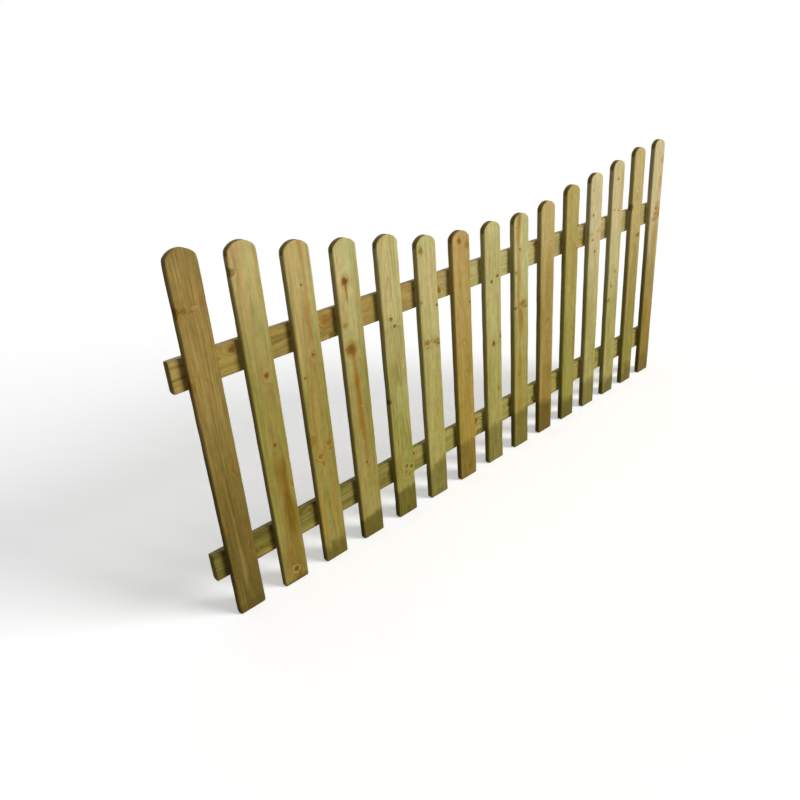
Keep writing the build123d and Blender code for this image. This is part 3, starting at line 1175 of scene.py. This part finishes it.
class FENCE_OT_make_pales(bpy.types.Operator):
    """Makes the fifteen upright pales"""

    bl_idname = "fence.make_pales"
    bl_label = "Make pales"

    def execute(self, context):
        scene = context.scene
        sizes = scene.fence_sizes
        for index, (node, board) in enumerate(PALES.items()):
            low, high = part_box(node)
            form = BoardForm(
                (high.x - low.x) / MM, (high.y - low.y) / MM, (high.z - low.z) / MM,
                sizes.pale_arris / MM, sizes.pale_arris / MM,
                sizes.head_rise / MM, sizes.shoulder / MM, sizes.foot_corner / MM,
            )
            pale = make_board(node, form, board, sizes, PALE_SEED + index)
            pale.data.materials.append(timber_material(f"{node}_timber", board, scene.fence_tones))
        return {"FINISHED"}


# How far each of a pale's two nails lies from the middle of the rail's height, and how unevenly they stand
NAIL_OFFSET = 15.0
NAIL_WOBBLE = 1.6


def nail_places(rail_node, sizes):
    """Each nail's place across and along a rail: two on a slant behind each pale."""
    rail_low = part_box(rail_node)[0]
    slant = sizes.nail_spread / MM / 2
    places = []
    for index, node in enumerate(PALES):
        low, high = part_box(node)
        middle = ((low.x + high.x) / 2 - rail_low.x) / MM
        for side in (-1, 1):
            wobble = NAIL_WOBBLE * math.sin(index * 2.4 + side)
            places.append((side * NAIL_OFFSET + wobble, middle + side * slant + wobble))
    return places


class FENCE_OT_make_rails(bpy.types.Operator):
    """Makes the two rails behind the pales"""

    bl_idname = "fence.make_rails"
    bl_label = "Make rails"

    def execute(self, context):
        scene = context.scene
        sizes = scene.fence_sizes
        for index, (node, board) in enumerate(RAILS.items()):
            low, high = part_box(node)
            form = BoardForm(
                (high.z - low.z) / MM, (high.y - low.y) / MM, (high.x - low.x) / MM,
                sizes.rail_front_arris / MM, sizes.rail_back_arris / MM,
            )
            nails = nail_places(node, sizes)
            rail = make_board(node, form, board, sizes, RAIL_SEED + index, turned=True, dishes=nails)
            rail.data.materials.append(timber_material(f"{node}_timber", board, scene.fence_tones))
        return {"FINISHED"}


# A nail's outline from its head's face to its shank: shares of the head's radius, and heights in millimetres
NAIL_OUTLINE = (
    (0.55, 0.02), (0.86, -0.05), (0.97, -0.18), (1.0, -0.45), (0.9, -0.9), (0.45, -1.6), (0.42, -3.5),
)
NAIL_SIDES = 20


def nail(head, radius, start):
    """The points and faces of one nail. head is its head's middle, and its points are numbered from start."""
    x, y, z = head
    points = [head]
    for share, height in NAIL_OUTLINE:
        for side in range(NAIL_SIDES):
            turn = 2 * math.pi * side / NAIL_SIDES
            reach = share * radius
            points.append((x + reach * math.cos(turn), y + height * MM, z + reach * math.sin(turn)))
    faces = []
    last = start + 1 + (len(NAIL_OUTLINE) - 1) * NAIL_SIDES
    for side in range(NAIL_SIDES):
        after = (side + 1) % NAIL_SIDES
        faces.append((start, start + 1 + after, start + 1 + side))
        for ring in range(start + 1, last, NAIL_SIDES):
            faces.append((ring + side, ring + after, ring + NAIL_SIDES + after, ring + NAIL_SIDES + side))
    faces.append(tuple(range(last, last + NAIL_SIDES)))
    return points, faces


class FENCE_OT_drive_nails(bpy.types.Operator):
    """Drives two nails behind each pale, through both rails"""

    bl_idname = "fence.drive_nails"
    bl_label = "Drive nails"

    def execute(self, context):
        sizes = context.scene.fence_sizes
        steel = steel_material(context.scene.fence_tones)
        for node in RAILS:
            low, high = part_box(node)
            points = []
            faces = []
            for across, along in nail_places(node, sizes):
                head = (low.x + along * MM, high.y - sizes.nail_sink, (low.z + high.z) / 2 - across * MM)
                more_points, more_faces = nail(head, sizes.nail_head / 2, len(points))
                points += more_points
                faces += more_faces
            mesh = bpy.data.meshes.new(f"{node}_nails")
            mesh.from_pydata(points, [], faces)
            mesh.materials.append(steel)
            finish_mesh(mesh, 35)
            nails = add_object(f"{node}_nails", mesh)
            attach(nails, "root")
        return {"FINISHED"}


# Light, floor and camera

# The camera's place in metres, at the left of the front. It is turned right, looks down and leans right.
CAMERA_PLACE = (-0.48025, -1.17582, 0.46798)
CAMERA_TURN = math.radians(41.472)
CAMERA_DROP = math.radians(24.971)
CAMERA_LEAN = math.radians(4.671)

# The weak light from behind: its height above the floor, and how far it is turned
FILL_HEIGHT = math.radians(15)
FILL_TURN = math.radians(170)

# The floor's reach in metres, its grey as the boards see it, and the glow that makes it white for the camera
FLOOR_REACH = 60.0
FLOOR_GREY = (0.28, 0.28, 0.28, 1.0)
FLOOR_GLOW = 0.235


def add_sun(name, strength, width, height, turn):
    """A distant lamp: its width, its height above the floor, and how far it is turned from the front."""
    light = bpy.data.lights.new(name, "SUN")
    light.energy = strength
    light.angle = width
    add_object(name, light).rotation_euler = (math.pi / 2 - height, 0.0, turn)
    return light


def set_sky(scene, strength):
    """Even light from all round, seen as white."""
    world = bpy.data.worlds.new("sky")
    world.use_nodes = True
    scene.world = world
    w = Wiring(world.node_tree)
    path = w.node("ShaderNodeLightPath").outputs
    seen = w.math("MAXIMUM", path["Is Camera Ray"], path["Is Glossy Ray"])
    seen = w.math("MAXIMUM", seen, path["Is Transmission Ray"])
    shown = w.times_plus(seen, 1.0 - strength, strength)
    w.fill(world.node_tree.nodes["Background"], {"Color": WHITE, "Strength": shown})


def make_floor(tones):
    """A plain pale floor at the panel's feet, white where no shadow falls."""
    reach = FLOOR_REACH
    low = cad_box[0][2]
    mesh = bpy.data.meshes.new("floor")
    corners = [(-reach, -reach, low), (reach, -reach, low), (reach, reach, low), (-reach, reach, low)]
    mesh.from_pydata(corners, [], [(0, 1, 2, 3)])
    material, w, shader = new_material("floor")
    seen = w.node("ShaderNodeLightPath").outputs["Is Camera Ray"]
    w.fill(shader, {
        "Base Color": w.mix(seen, FLOOR_GREY, linear(tones.floor)),
        "Roughness": 1.0, "Specular IOR Level": 0.0,
        "Emission Color": WHITE, "Emission Strength": w.times(seen, FLOOR_GLOW),
    })
    mesh.materials.append(material)
    return add_object("floor", mesh)


class FENCE_OT_set_stage(bpy.types.Operator):
    """Sets the camera, the floor and the light"""

    bl_idname = "fence.set_stage"
    bl_label = "Set stage"

    def execute(self, context):
        scene = context.scene
        stage = scene.fence_stage
        scene.view_settings.view_transform = "Standard"

        lens = bpy.data.cameras.new("camera")
        lens.lens = stage.lens
        lens.clip_end = 200.0
        camera = add_object("camera", lens)
        aim = Matrix.Rotation(-CAMERA_TURN, 4, "Z") @ Matrix.Rotation(math.pi / 2 - CAMERA_DROP, 4, "X")
        camera.matrix_world = Matrix.Translation(CAMERA_PLACE) @ aim @ Matrix.Rotation(-CAMERA_LEAN, 4, "Z")
        scene.camera = camera

        add_sun("sun", stage.sun, stage.sun_width, stage.sun_height, stage.sun_turn)
        add_sun("fill", stage.fill, stage.sun_width, FILL_HEIGHT, FILL_TURN).use_shadow = False
        set_sky(scene, stage.sky)
        make_floor(scene.fence_tones)
        return {"FINISHED"}


class FENCE_PT_panel(bpy.types.Panel):
    """Lists what the add-on makes"""

    bl_label = "Garden Fence Panel"
    bl_idname = "FENCE_PT_panel"
    bl_space_type = "VIEW_3D"
    bl_region_type = "UI"
    bl_category = "Fence"

    def draw(self, context):
        layout = self.layout
        for operator in OPERATORS:
            layout.operator(operator.bl_idname)
        for group in (context.scene.fence_sizes, context.scene.fence_stage, context.scene.fence_tones):
            box = layout.box()
            for name in group.__annotations__:
                box.prop(group, name)


OPERATORS = (FENCE_OT_set_stage, FENCE_OT_make_pales, FENCE_OT_make_rails, FENCE_OT_drive_nails)
SETTINGS = {"fence_tones": FenceTones, "fence_sizes": FenceSizes, "fence_stage": FenceStage}
CLASSES = (*SETTINGS.values(), *OPERATORS, FENCE_PT_panel)


def register():
    for cls in CLASSES:
        bpy.utils.register_class(cls)
    for name, group in SETTINGS.items():
        setattr(bpy.types.Scene, name, bpy.props.PointerProperty(type=group))


def unregister():
    for name in SETTINGS:
        delattr(bpy.types.Scene, name)
    for cls in reversed(CLASSES):
        bpy.utils.unregister_class(cls)


def main():
    register()
    bpy.ops.fence.set_stage()
    bpy.ops.fence.make_pales()
    bpy.ops.fence.make_rails()
    bpy.ops.fence.drive_nails()


if __name__ == "__main__":
    main()
